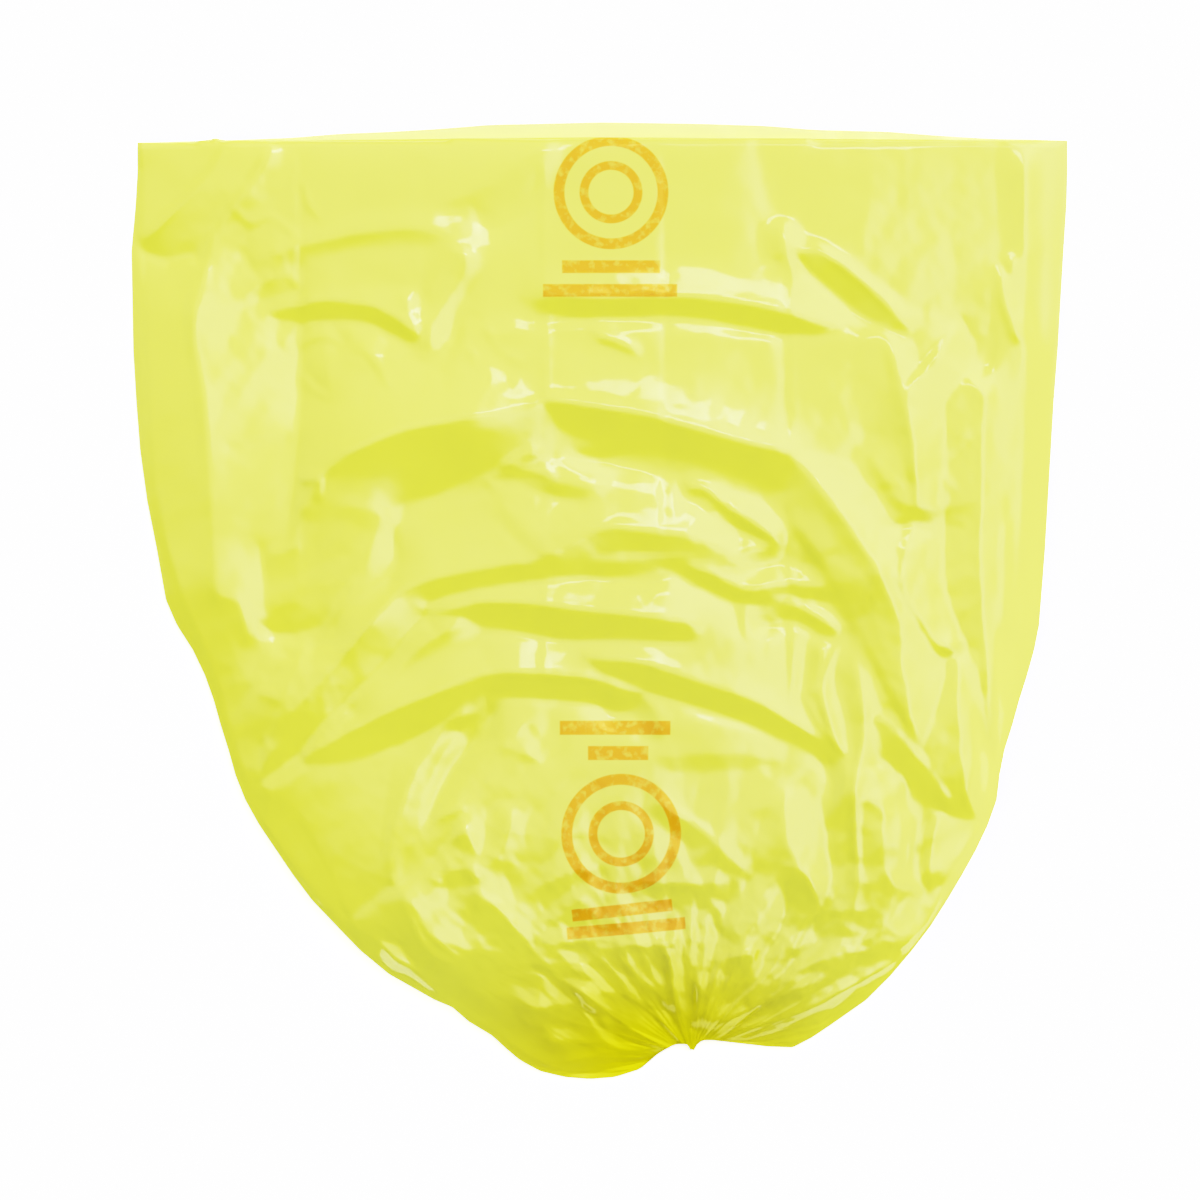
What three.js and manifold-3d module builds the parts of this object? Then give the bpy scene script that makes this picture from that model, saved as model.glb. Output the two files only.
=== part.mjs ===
// A star-sealed polyethylene liner bag for soiled linen, lying on its back on a level floor.
//
// The bag is one piece of blown film: a lay-flat tube, open at the mouth and gathered to a point at the bottom.
// Millimetres, +Z up. +X runs across the bag and +Y towards the mouth. The origin is on the floor, under the
// middle of the bag's box. The back film rests on the floor, and the front film lies over it with trapped air
// between: thin at the mouth, deep over the gathered bottom, and thrown into broad arched folds round the gather.
// The mouth is open. The wall is thicker than the real film, which is 0.032 mm.
import * as THREE from "three";
import { mergeVertices } from "three/addons/utils/BufferGeometryUtils.js";
import Module from "manifold-3d";

const WALL = 1.0; // thickness of the film's solid
const SIDE_WALLS = 1.6; // thickness of the side folds, in walls
const EDGE = 3.4; // height of the rounded fold along both side edges
const COLUMNS = 26; // facets across the bag
const LIP = 16; // how far the back film's edge shows past the front film's at the middle of the mouth
const SEAL_WALL = 18; // depth of bunched film at the bottom, which the hollow stops short of
const SEAL_SIDES = 12; // how much further the hollow draws in at the sides of the bottom
const SEAL = { x: 75, y: -368, reach: 44, depth: 0.62 }; // the gathered seal: where it is, and the hollow it pulls in the front film
const MOUTH_EXTRA = 30; // how far the cutting body for the hollow runs out of the mouth

// The outline as it lies: [y, left edge, right edge, height of the front film over the floor at the middle,
// height of the underside at the side edges]. From the mouth to the lowest point of the bottom.
const STATIONS = [
  [384, -385, 390, 13, 0.0],
  [354, -385, 389, 15, 0.0],
  [313, -388, 388, 18, 0.3],
  [271, -390, 385, 21, 0.6],
  [230, -388, 383, 24, 1.0],
  [188, -388, 380, 27, 1.5],
  [147, -385, 378, 31, 2.0],
  [105, -381, 375, 35, 2.6],
  [76, -375, 373, 38, 3.2],
  [47, -369, 371, 41, 3.8],
  [18, -363, 368, 44, 4.5],
  [-9, -358, 367, 47, 5.2],
  [-30, -345, 364, 49, 6.0],
  [-52, -333, 358, 51, 7.0],
  [-74, -324, 352, 53, 8.0],
  [-98, -316, 344, 55, 9.0],
  [-123, -309, 337, 57, 10.0],
  [-148, -302, 333, 59, 11.0],
  [-173, -290, 327, 60, 12.0],
  [-198, -275, 317, 60, 12.5],
  [-223, -257, 304, 60, 13.0],
  [-248, -239, 289, 59, 13.0],
  [-273, -215, 272, 57, 13.0],
  [-294, -194, 257, 55, 13.0],
  [-314, -168, 241, 52, 12.5],
  [-334, -134, 218, 48, 12.0],
  [-352, -108, 192, 43, 11.0],
  [-364, -88, 172, 39, 10.0],
  [-370, -80, 121, 36, 9.5],
  [-378, -70, 60, 31, 8.5],
  [-387, -58, 42, 26, 7.0],
  [-394, -47, 24, 21, 6.0],
  [-400, -31, 5, 16, 5.0],
];
const MOUTH_Y = STATIONS[0][0];
const BOTTOM_Y = STATIONS[STATIONS.length - 1][0];

// The outline and heights at any distance along the bag: [left, right, height, lift].
function across(y) {
  if (y >= MOUTH_Y) return STATIONS[0].slice(1);
  let k = 1;
  while (k < STATIONS.length - 1 && STATIONS[k][0] > y) k++;
  const a = STATIONS[k - 1], b = STATIONS[k];
  const u = THREE.MathUtils.clamp((a[0] - y) / (a[0] - b[0]), 0, 1);
  return [1, 2, 3, 4].map((n) => THREE.MathUtils.lerp(a[n], b[n], u));
}

// The broad arched folds of the front film: the line of each crest, its height, how far it rises from the
// mouth side and how far it falls away on the bottom side.
const FOLDS = [
  { crest: [[-360, 225], [-257, 255], [-166, 243], [-45, 252], [83, 254], [200, 232], [240, 214]], high: 5, rise: 46, fall: 26 },
  { crest: [[-290, 60], [-216, 113], [-166, 141], [-49, 168], [83, 153], [158, 130], [225, 72], [280, -12]], high: 9, rise: 60, fall: 42 },
  { crest: [[-250, -60], [-166, 4], [-45, 26], [83, 22], [158, -4], [236, -75]], high: 7, rise: 46, fall: 28 },
  { crest: [[-285, -176], [-249, -138], [-182, -92], [-99, -70], [-45, -63], [34, -68], [100, -88], [215, -134]], high: 8, rise: 44, fall: 28 },
  { crest: [[-190, -262], [-99, -192], [-33, -160], [34, -155], [117, -176], [190, -232]], high: 5, rise: 36, fall: 30 },
];
const crests = FOLDS.map((f) => new THREE.SplineCurve(f.crest.map(([x, y]) => new THREE.Vector2(x, y))).getPoints(60));

// Height that the folds add at a point of the front film.
function foldHeight(x, y) {
  let h = 0;
  FOLDS.forEach((f, i) => {
    const line = crests[i];
    const first = line[0], last = line[line.length - 1];
    if (x < first.x - 60 || x > last.x + 60) return;
    let k = line.findIndex((p) => p.x >= x);
    if (k < 0) k = line.length - 1;
    const a = line[Math.max(0, k - 1)], b = line[k];
    const u = b.x > a.x ? THREE.MathUtils.clamp((x - a.x) / (b.x - a.x), 0, 1) : 0;
    const d = THREE.MathUtils.lerp(a.y, b.y, u) - y; // towards the bottom is positive
    const across = Math.exp(-((d / (d > 0 ? f.fall : f.rise)) ** 2));
    const ends = THREE.MathUtils.smoothstep(x, first.x - 60, first.x + 50) * (1 - THREE.MathUtils.smoothstep(x, last.x - 50, last.x + 60));
    h += f.high * across * ends;
  });
  return h;
}

// Across the bag the front film is broad and flat on top, and rounds down at the side edges.
const crown = (s, t) => Math.pow(1 - Math.pow(Math.abs(s), THREE.MathUtils.lerp(5, 3, t)), 0.62);
// The underside is flat on the floor and turns up only towards the edges.
const turnUp = (s) => Math.pow(Math.max(0, (Math.abs(s) - 0.72) / 0.28), 2);

// A closed body of the bag's shape, made from a box with a facet for each row: its top face becomes the front
// film and its bottom face the back film. inset shrinks it on every side, for the hollow.
function bagBody(rows, inset) {
  const box = new THREE.BoxGeometry(2, 2, 2, COLUMNS, rows.length - 1, 1);
  box.deleteAttribute("normal");
  box.deleteAttribute("uv");
  const shape = mergeVertices(box, 1e-5);
  const p = shape.getAttribute("position");
  for (let i = 0; i < p.count; i++) {
    const y0 = rows[Math.round(((1 - p.getY(i)) / 2) * (rows.length - 1))];
    const front = p.getZ(i) > 0;
    const u = p.getX(i);
    const s = 0.72 * Math.sin((u * Math.PI) / 2) + 0.28 * u; // facets closer together at the edges
    const [left, right, high, lift] = across(y0);
    const t = THREE.MathUtils.clamp((MOUTH_Y - y0) / (MOUTH_Y - BOTTOM_Y), 0, 1);
    const sides = inset * (SIDE_WALLS + SEAL_SIDES * THREE.MathUtils.smoothstep(-y0, 300, 360));
    const x = (left + right) / 2 + ((right - left) / 2 - sides) * s;
    // the back film's edge bows out at the mouth, and the front film's is straight
    const bow = LIP * Math.pow(Math.max(0, 1 - s * s), 0.8) * (1 - THREE.MathUtils.smoothstep(MOUTH_Y - y0, 0, 120));
    let z;
    if (front) {
      const edgeTop = lift + EDGE;
      const inside = THREE.MathUtils.smoothstep(1 - Math.abs(s), 0, 0.25) * (1 - THREE.MathUtils.smoothstep(-y0, 270, 340));
      const drawn = SEAL.depth * Math.exp(-((x - SEAL.x) ** 2 + (y0 - SEAL.y) ** 2) / (2 * SEAL.reach ** 2));
      z = edgeTop + ((high - edgeTop) * crown(s, t) + foldHeight(x, y0) * inside) * (1 - drawn) - inset;
    } else {
      z = lift * turnUp(s) + inset;
    }
    p.setXYZ(i, x, y0 + (front ? 0 : bow), z);
  }
  return shape;
}

// The hollow's rows lie in line with the film's, run on out of the mouth, and draw back from the bottom.
const filmRows = STATIONS.map((row) => row[0]);
const hollowRows = [
  MOUTH_Y + MOUTH_EXTRA,
  ...filmRows.map((y) => y + SEAL_WALL * THREE.MathUtils.smoothstep(-y, 300, 400)),
];

const wasm = await Module();
wasm.setup();

function solidOf(geometry) {
  return new wasm.Manifold(
    new wasm.Mesh({
      numProp: 3,
      vertProperties: new Float32Array(geometry.getAttribute("position").array),
      triVerts: new Uint32Array(geometry.index.array),
    }),
  );
}

function geometryOf(solid) {
  const m = solid.getMesh();
  const positions = new Float32Array(m.numVert * 3);
  for (let i = 0; i < m.numVert; i++) positions.set(m.vertProperties.subarray(i * m.numProp, i * m.numProp + 3), i * 3);
  const g = new THREE.BufferGeometry();
  g.setAttribute("position", new THREE.BufferAttribute(positions, 3));
  g.setIndex(new THREE.BufferAttribute(new Uint32Array(m.triVerts), 1));
  g.computeVertexNormals();
  return g;
}

const film = solidOf(bagBody(filmRows, 0)).subtract(solidOf(bagBody(hollowRows, WALL)));

const bag = new THREE.Mesh(
  geometryOf(film),
  new THREE.MeshStandardMaterial({ color: 0xdfe45a, roughness: 0.3, metalness: 0, side: THREE.DoubleSide }),
);
bag.name = "bag";

const group = new THREE.Group();
group.add(bag);
export default group;
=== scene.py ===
"""A star-sealed film liner bag lying flat, seen from straight above on a pale floor.

The film is one open sheet: a tube whose back lies on the floor and whose front is drawn up into arched folds
round the gathered seal. Its folds are given as facets, which say which way the film faces, and as ridge lines with
a steep and a gentle side. The height that suits them all best is solved by least squares, crisp small crumples are
laid over it, and the back film is pleated under the bag. Points of the outline and of the folds are in units of
U millimetres, on a drawing of 1200 x 1200 units whose +y runs down, away from the mouth.
"""
import bpy
import math
import numpy as np
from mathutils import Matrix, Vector


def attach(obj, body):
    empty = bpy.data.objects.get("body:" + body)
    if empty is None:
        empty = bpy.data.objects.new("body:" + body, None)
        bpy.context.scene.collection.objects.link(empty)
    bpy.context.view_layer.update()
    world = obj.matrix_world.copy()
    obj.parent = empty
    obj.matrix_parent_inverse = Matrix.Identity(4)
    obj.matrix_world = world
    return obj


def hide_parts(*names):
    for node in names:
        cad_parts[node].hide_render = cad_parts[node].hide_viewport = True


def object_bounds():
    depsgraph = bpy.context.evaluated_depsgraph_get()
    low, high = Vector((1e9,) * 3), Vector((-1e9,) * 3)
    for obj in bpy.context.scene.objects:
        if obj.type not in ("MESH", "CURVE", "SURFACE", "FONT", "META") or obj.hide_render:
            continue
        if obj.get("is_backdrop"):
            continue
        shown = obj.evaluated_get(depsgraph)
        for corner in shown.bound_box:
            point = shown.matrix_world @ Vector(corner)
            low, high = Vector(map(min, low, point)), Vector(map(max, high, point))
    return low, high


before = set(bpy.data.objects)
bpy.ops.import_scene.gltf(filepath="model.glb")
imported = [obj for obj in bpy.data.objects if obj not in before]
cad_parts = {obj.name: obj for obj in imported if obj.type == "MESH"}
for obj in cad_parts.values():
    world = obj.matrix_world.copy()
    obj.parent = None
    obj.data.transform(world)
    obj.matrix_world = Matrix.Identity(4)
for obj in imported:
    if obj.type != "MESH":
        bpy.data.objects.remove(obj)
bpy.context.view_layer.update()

U = 0.83065            # millimetres to a drawing unit
ORIGIN = (599.5, 601.5)
FLAT_W, FLAT_L = 0.775, 1.041   # the lay-flat tube: width, and length from mouth to seal, in metres
NF, NB, NV = 262, 84, 284       # columns of the front film, columns of the back film, rows from mouth to seal


def mm(points):
    p = np.asarray(points, float)
    return np.stack([(p[..., 0] - ORIGIN[0]) * U, (ORIGIN[1] - p[..., 1]) * U], -1)


# ---------------------------------------------------------------- outline
LEFT = [(136, 140), (136, 170), (134, 205), (130, 250), (131, 300), (132, 350), (135, 400), (139, 450), (146, 500),
        (156, 550), (165, 600), (176, 625), (192, 650), (204, 675), (213, 700), (220, 725), (228, 750), (235, 775),
        (245, 800), (259, 825), (276, 850), (293, 875), (312, 900), (336, 925), (360, 950), (389, 974), (435, 1000),
        (452, 1007), (469, 1022), (492, 1036), (507, 1050), (520, 1061), (540, 1072), (565, 1078), (590, 1080),
        (615, 1078), (640, 1070), (655, 1057), (664, 1049), (674, 1044), (683, 1041), (688, 1046), (691, 1051)]
RIGHT = [(1069, 139), (1069, 170), (1068, 205), (1065, 250), (1062, 300), (1059, 350), (1055, 400), (1052, 450),
         (1049, 500), (1046, 550), (1042, 600), (1040, 625), (1035, 650), (1028, 675), (1020, 700), (1013, 725),
         (1005, 750), (1000, 775), (997, 800), (988, 825), (976, 850), (962, 875), (947, 900), (931, 925), (912, 950),
         (890, 976), (866, 1000), (831, 1025), (812, 1038), (793, 1048), (768, 1047), (742, 1044), (716, 1041),
         (703, 1040), (697, 1045), (694, 1051)]
MOUTH_FRONT = [(136, 141), (165, 142), (190, 141), (215, 137), (230, 140), (300, 139), (600, 136), (1030, 139), (1069, 139)]
MOUTH_BACK = [(136, 141), (240, 138), (290, 136), (340, 132), (390, 130), (440, 127), (490, 123), (540, 122), (600, 120.5),
              (640, 121), (700, 122), (765, 124), (815, 128), (890, 130), (940, 134), (990, 137), (1040, 138), (1069, 139)]
GATHER = (692.0, 1043.0)


def resample(points, marks, rows):
    """Points along a polyline, whose rows run evenly between marks: (share of the rows, y where it is reached)."""
    p = np.asarray(points, float)
    arc = np.r_[0, np.cumsum(np.hypot(*np.diff(p, axis=0).T))]
    stops = [0.0]
    for share, y in marks[1:-1]:
        k = np.argmax(p[:, 1] >= y)
        u = (y - p[k - 1, 1]) / (p[k, 1] - p[k - 1, 1])
        stops.append(arc[k - 1] + u * (arc[k] - arc[k - 1]))
    stops.append(arc[-1])
    a = np.interp(rows, [m[0] for m in marks], stops)
    return np.stack([np.interp(a, arc, p[:, 0]), np.interp(a, arc, p[:, 1])], 1)


def ease(x, lo, hi):
    t = np.clip((x - lo) / (hi - lo), 0, 1)
    return t * t * (3 - 2 * t)


rows = np.linspace(0, 1, NV + 1)
MARKS = [(0.0, 140), (0.50, 690), (0.72, 930), (1.0, 1043)]
left_line = resample(LEFT, MARKS, rows)
right_line = resample(RIGHT, MARKS, rows)
# the middle column runs from the mouth to the seal
middle = np.stack([602 + (GATHER[0] - 602) * ease(rows, 0.45, 1.0),
                   np.interp(rows, [0, 0.5, 0.72, 0.86, 1.0], [138, 690, 900, 995, 1050])], 1)


def cosine_spaced(n, pull):
    u = np.linspace(-1, 1, n + 1)
    return (1 - pull) * u + pull * np.sin(u * math.pi / 2)


def rail_grid(s):
    """Drawing points of a sheet whose columns are s, from -1 at the left edge to 1 at the right edge."""
    S = s[None, :]
    straight = (left_line[:, None] * ((1 - S) / 2)[..., None] + right_line[:, None] * ((1 + S) / 2)[..., None])
    mid = (left_line + right_line) / 2
    bend = (1 - S ** 2) ** 1.0
    return straight + (middle - mid)[:, None] * bend[..., None]


sF = cosine_spaced(NF, 0.35)
sB = cosine_spaced(NB, 0.35)
front = rail_grid(sF)
back = rail_grid(sB)
# the two edges of the mouth
fade = 1 - ease(rows, 0, 0.06)
front[..., 1] += (np.interp(front[0, :, 0], *np.array(MOUTH_FRONT).T) - front[0, :, 1])[None] * fade[:, None]
back[..., 1] += (np.interp(back[0, :, 0], *np.array(MOUTH_BACK).T) - back[0, :, 1])[None] * fade[:, None]

fx, fy = front[..., 0], front[..., 1]

# ---------------------------------------------------------------- the lie of the front film
# The front film's height is worked out on a square grid over the drawing. Facets and ridges say which way the film
# faces, and the height that suits them all best is found by least squares, so what one fold drops is made up
# gently over the film beside it.
STEP = 2.5
GX, GY = np.meshgrid(np.arange(117.5, 1090, STEP), np.arange(112.5, 1095, STEP))


def inside_of(poly, X, Y):
    q = np.asarray(poly, float)
    odd = np.zeros(X.shape, bool)
    for (x0, y0), (x1, y1) in zip(q, np.roll(q, -1, axis=0)):
        if y0 == y1:
            continue
        odd ^= ((Y >= min(y0, y1)) & (Y < max(y0, y1)) & (X < x0 + (Y - y0) * (x1 - x0) / (y1 - y0)))
    return odd


def edge_distance(poly, X, Y, closed=True):
    q = np.asarray(poly, float)
    best = np.full(X.shape, 1e9)
    for i in range(len(q) if closed else len(q) - 1):
        a, c = q[i], q[(i + 1) % len(q)]
        e = c - a
        t = np.clip(((X - a[0]) * e[0] + (Y - a[1]) * e[1]) / max(e @ e, 1e-9), 0, 1)
        best = np.minimum(best, np.hypot(X - a[0] - t * e[0], Y - a[1] - t * e[1]))
    return best


OUTLINE = MOUTH_FRONT + RIGHT[1:] + LEFT[::-1][:-1]
within = inside_of(OUTLINE, GX, GY)
rim = np.where(within, edge_distance(OUTLINE[len(MOUTH_FRONT) - 1:], GX, GY, closed=False), 0)
# the lie before any fold: flat creases at the sides near the mouth, full and round sides towards the seal
puff = np.interp(GY, [138, 200, 300, 420, 560, 700, 800, 880, 940, 990, 1020, 1043, 1080],
                 [9, 11, 15, 21, 28, 33, 36, 38, 38, 36, 29, 19, 10])
edge = np.interp(GY, [138, 250, 690, 930, 1000, 1043, 1080], [0.5, 1.5, 6, 13, 12, 8, 5])
wide = np.interp(GY, [138, 400, 650, 800, 900, 1080], [70, 85, 100, 85, 72, 60])
rise = 1 - (1 - np.clip(rim / wide, 0, 1)) ** 1.8
BASE = np.where(within, edge + (puff - edge).clip(0) * rise, edge)

FACETS = []


def facet(points, faces, soft=5, weight=1.0):
    """An area of film that faces one way: faces is (to the right, to the mouth), as a slope."""
    FACETS.append((points, faces, soft, weight))


FOLDS = []


def fold(points, height, near, far, sharp=1.5, ends=0.22, close=False):
    """A ridge along a smooth line. Walking along it, near is the reach of the side on the left hand, as seen on the
    drawing, and far the reach of the other side; sharp above 1 hollows the flanks, and ends is how far it fades."""
    FOLDS.append((points, height, near, far, sharp, ends))


def smooth_line(points, n=14):
    p = np.asarray(points, float)
    if len(p) == 2:
        return np.linspace(p[0], p[1], 5)
    q = np.vstack([2 * p[0] - p[1], p, 2 * p[-1] - p[-2]])
    out = []
    for i in range(1, len(q) - 2):
        a, b, c, d = q[i - 1], q[i], q[i + 1], q[i + 2]
        t = np.linspace(0, 1, max(3, int(np.hypot(*(c - b)) / n)), endpoint=False)[:, None]
        out.append(0.5 * (2 * b + (c - a) * t + (2 * a - 5 * b + 4 * c - d) * t ** 2 + (3 * b - a - 3 * c + d) * t ** 3))
    out.append(p[-1][None])
    return np.vstack(out)


def field(line, X, Y):
    """Signed distance to a line (positive on its left hand, seen on the drawing) and how far along it, 0 to 1."""
    best = np.full(X.shape, 1e9)
    side = np.zeros(X.shape)
    along = np.zeros(X.shape)
    seg = np.diff(line, axis=0)
    length = np.hypot(seg[:, 0], seg[:, 1])
    arc = np.r_[0, np.cumsum(length)]
    for i in range(len(seg)):
        dx, dy = seg[i] / max(length[i], 1e-9)
        rx, ry = X - line[i, 0], Y - line[i, 1]
        t = np.clip(rx * dx + ry * dy, 0, length[i])
        d = np.hypot(rx - t * dx, ry - t * dy)
        k = d < best
        best[k] = d[k]
        side[k] = (rx * dy - ry * dx)[k]
        along[k] = ((arc[i] + t) / arc[-1])[k]
    return np.where(side >= 0, best, -best), along


def fold_slopes(X, Y, gentle=0.45):
    """The slopes that all the ridges ask for, in mm to a grid step, and how firmly. The side on the left hand of
    each ridge is drawn gentle times as steep, because the film beside it makes up the rest."""
    gx, gy, firm = np.zeros(X.shape), np.zeros(X.shape), np.zeros(X.shape)
    for points, height, near, far, sharp, ends in FOLDS:
        line = smooth_line(points)
        reach = max(near, far) + 2 * STEP
        lo, hi = line.min(0) - reach, line.max(0) + reach
        j0, j1 = np.searchsorted(Y[:, 0], [lo[1], hi[1]])
        i0, i1 = np.searchsorted(X[0], [lo[0], hi[0]])
        if j1 - j0 < 3 or i1 - i0 < 3:
            continue
        box = (slice(j0, j1), slice(i0, i1))
        d, a = field(line, X[box], Y[box])
        t = np.clip(np.abs(d) / np.where(d >= 0, near, far), 0, 1)
        taper = np.sin(np.clip(np.minimum(a, 1 - a) / max(ends, 1e-6), 0, 1) * math.pi / 2)
        z = height * (1 - t) ** sharp * taper
        side = np.where(d >= 0, gentle, 1.0)
        dy, dx = np.gradient(z)
        gx[box] += dx * side
        gy[box] += dy * side
        firm[box] = np.maximum(firm[box], (1 - t) * taper * side)
    return gx, gy, firm


# Across the upper part. Walking from left to right, the left hand is up the drawing, towards the mouth.
fold([(188, 330), (222, 310), (262, 284), (294, 273)], 6, 34, 22)
fold([(258, 312), (300, 303), (350, 302), (388, 313), (430, 345)], 7, 34, 19)
fold([(240, 262), (300, 245), (360, 232), (420, 228), (462, 245)], 3, 26, 22)
fold([(520, 300), (600, 300), (650, 297), (700, 299), (750, 306), (800, 318), (834, 330)], 8, 46, 22)
fold([(786, 228), (812, 246), (845, 268), (880, 298), (908, 330)], 5, 14, 17)
fold([(784, 218), (786, 262)], 4, 20, 26, 1.2, 0.4)
fold([(425, 362), (440, 300), (468, 250)], 4, 30, 26)
fold([(408, 340), (428, 312), (440, 278)], 3, 20, 10)
fold([(475, 210), (520, 185), (555, 150)], 2.5, 40, 28)
fold([(590, 330), (622, 346), (642, 354)], 2.0, 12, 10)
# the long arch across the middle, deep on the left
fold([(297, 640), (297, 580), (298, 530), (316, 484), (348, 455), (400, 431), (450, 421), (500, 411), (542, 402)], 19, 74, 92, 1.45)
fold([(548, 404), (600, 412), (650, 420), (700, 431), (750, 445), (788, 458), (820, 490), (855, 540), (885, 600), (905, 650)], 13, 60, 52, 1.45)
fold([(395, 512), (380, 560), (352, 598), (322, 632)], 7, 70, 52, 1.3)
fold([(300, 482), (318, 478), (322, 505)], 4, 12, 14)
fold([(500, 470), (520, 455), (545, 448)], 4, 18, 16)
fold([(482, 482), (530, 470), (575, 490), (606, 492)], 4, 20, 16)
fold([(545, 560), (575, 540), (610, 527), (650, 533), (700, 541), (722, 552)], 7, 40, 24)
fold([(500, 500), (530, 530), (552, 560)], 4, 34, 18)
# the second and third arches
fold([(392, 591), (440, 577), (500, 566), (560, 560), (625, 561), (668, 566)], 6, 42, 22)
fold([(428, 618), (460, 603), (520, 602), (570, 608), (620, 613), (685, 622)], 7.5, 30, 34)
fold([(582, 652), (640, 662), (700, 682), (750, 699), (790, 721), (830, 745), (852, 757)], 7.5, 36, 26)
fold([(668, 556), (700, 571), (740, 590), (772, 600), (800, 606)], 6, 26, 16)
fold([(744, 590), (790, 582), (830, 592)], 5, 20, 14, 1.3)
fold([(750, 618), (790, 605), (842, 632)], 5, 12, 16, 1.3)
fold([(722, 505), (750, 520), (785, 545)], 4, 16, 16)
fold([(728, 565), (745, 552), (785, 545)], 4, 20, 20)
fold([(682, 486), (705, 490), (725, 510)], 3, 16, 18)
fold([(487, 671), (550, 674), (600, 680), (640, 694)], 8.5, 36, 27)
fold([(303, 757), (350, 731), (400, 707), (450, 688), (490, 671)], 10, 44, 42)
# the fan on the left, below the long arch
fold([(402, 588), (352, 645), (302, 700), (272, 742), (254, 765)], 13, 46, 40)
fold([(478, 616), (432, 640), (396, 672), (358, 714)], 8, 34, 44)
fold([(304, 752), (350, 702), (400, 648), (438, 614)], 3, 10, 24)
fold([(302, 757), (275, 776), (270, 792), (292, 822), (322, 872), (352, 920)], 8, 34, 40)
fold([(258, 815), (300, 860), (345, 920)], 4, 18, 18)
fold([(276, 640), (300, 634), (336, 626)], 4, 12, 12)
fold([(305, 640), (308, 690)], 3, 10, 10)
fold([(215, 620), (232, 660), (249, 694)], 8, 26, 30)
fold([(250, 690), (280, 700), (276, 740)], 5, 22, 26)
# round the lower mark
fold([(395, 882), (392, 850), (404, 800), (425, 755), (452, 722), (490, 705)], 9, 40, 34)
fold([(416, 838), (420, 800), (440, 760), (462, 735)], 4, 18, 16)
fold([(395, 885), (410, 912), (425, 942), (445, 958), (470, 956)], 6, 26, 34)
fold([(405, 882), (440, 905), (480, 935), (505, 950)], 5, 34, 22)
fold([(475, 845), (478, 888), (520, 930), (560, 975), (605, 1002)], 9, 36, 34)
fold([(440, 860), (465, 856), (478, 880)], 5, 20, 26)
fold([(505, 745), (530, 722), (545, 760)], 4, 22, 16)
fold([(512, 800), (506, 840), (492, 870)], 4, 24, 22)
fold([(600, 703), (628, 690), (655, 708), (662, 740)], 4, 18, 22)
fold([(650, 795), (700, 835), (716, 836)], 4, 18, 18)
fold([(640, 882), (700, 881), (745, 876)], 3, 16, 24)
fold([(690, 858), (715, 845), (745, 874)], 3, 14, 16)
fold([(545, 888), (570, 870), (600, 866)], 3, 18, 16)
# the tuck below the lower mark, and the pleats that run into the seal
fold([(535, 940), (575, 940), (610, 945), (650, 940), (700, 930)], 7, 20, 44)
fold([(560, 952), (600, 978), (645, 1000), (680, 1028)], 7, 30, 26)
fold([(612, 945), (640, 975), (668, 1002), (686, 1032)], 6, 18, 20)
fold([(660, 935), (672, 965), (674, 992), (688, 1030)], 6, 16, 16)
fold([(684, 935), (690, 970), (700, 990), (692, 1030)], 6, 14, 16)
fold([(720, 900), (722, 940), (712, 985), (694, 1030)], 7, 24, 26)
fold([(752, 950), (728, 985), (698, 1030)], 7, 22, 18)
fold([(808, 915), (785, 955), (750, 990), (705, 1028)], 10, 24, 22)
fold([(850, 948), (805, 970), (770, 995), (706, 1030)], 9, 20, 20)
fold([(905, 955), (850, 985), (790, 1020), (708, 1033)], 8, 20, 24)
fold([(860, 1005), (800, 1030), (710, 1037)], 5, 20, 18)
fold([(518, 1012), (560, 1002), (590, 1006), (608, 1036)], 9, 26, 28)
fold([(540, 968), (565, 985), (600, 1012), (612, 1040)], 6, 26, 22)
fold([(545, 1050), (580, 1042), (640, 1052)], 5, 20, 16)
fold([(470, 1015), (540, 1060), (600, 1068), (650, 1052)], 5, 24, 14)
fold([(350, 920), (385, 926), (402, 940), (415, 965)], 5, 20, 22)
fold([(380, 935), (420, 975), (450, 1000)], 5, 18, 18)
# the right side
fold([(882, 322), (898, 380), (910, 450), (916, 505)], 8, 26, 46)
fold([(958, 316), (975, 340), (940, 400), (930, 470), (928, 505)], 6, 24, 34)
fold([(868, 455), (890, 480), (910, 506), (942, 508)], 5, 16, 22)
fold([(790, 508), (830, 560), (868, 612), (895, 680), (916, 748)], 9, 34, 34)
fold([(812, 480), (850, 530), (882, 580), (905, 640)], 5, 22, 20)
fold([(930, 570), (925, 640), (918, 748)], 7, 30, 26)
fold([(900, 560), (925, 610), (945, 645), (965, 646)], 6, 26, 22)
fold([(874, 716), (905, 752), (945, 806)], 8, 22, 34)
fold([(905, 790), (880, 784), (870, 765)], 5, 22, 20)
fold([(850, 640), (862, 720), (852, 800), (856, 880), (850, 945)], 8, 26, 30)
fold([(815, 682), (835, 740), (848, 800)], 5, 18, 20)
fold([(822, 640), (815, 685), (800, 690)], 4, 16, 16)
fold([(786, 785), (795, 840), (818, 905)], 7, 26, 30)
fold([(880, 820), (885, 872), (905, 888), (928, 882)], 5, 22, 20)
fold([(942, 806), (930, 845), (926, 885)], 5, 20, 20)
fold([(980, 820), (950, 860), (925, 900), (905, 940)], 6, 22, 26)
fold([(985, 380), (982, 470), (988, 560), (990, 640), (994, 760)], 8, 30, 34)
fold([(1010, 250), (1012, 300), (1024, 344)], 5, 18, 16)
fold([(1027, 140), (1026, 300), (1024, 460), (1016, 640)], 5, 18, 30, 1.3, 0.08)
fold([(950, 690), (962, 740), (966, 800), (984, 822)], 5, 20, 22)
fold([(1000, 480), (1004, 560), (1000, 640)], 4, 16, 18)
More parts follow.
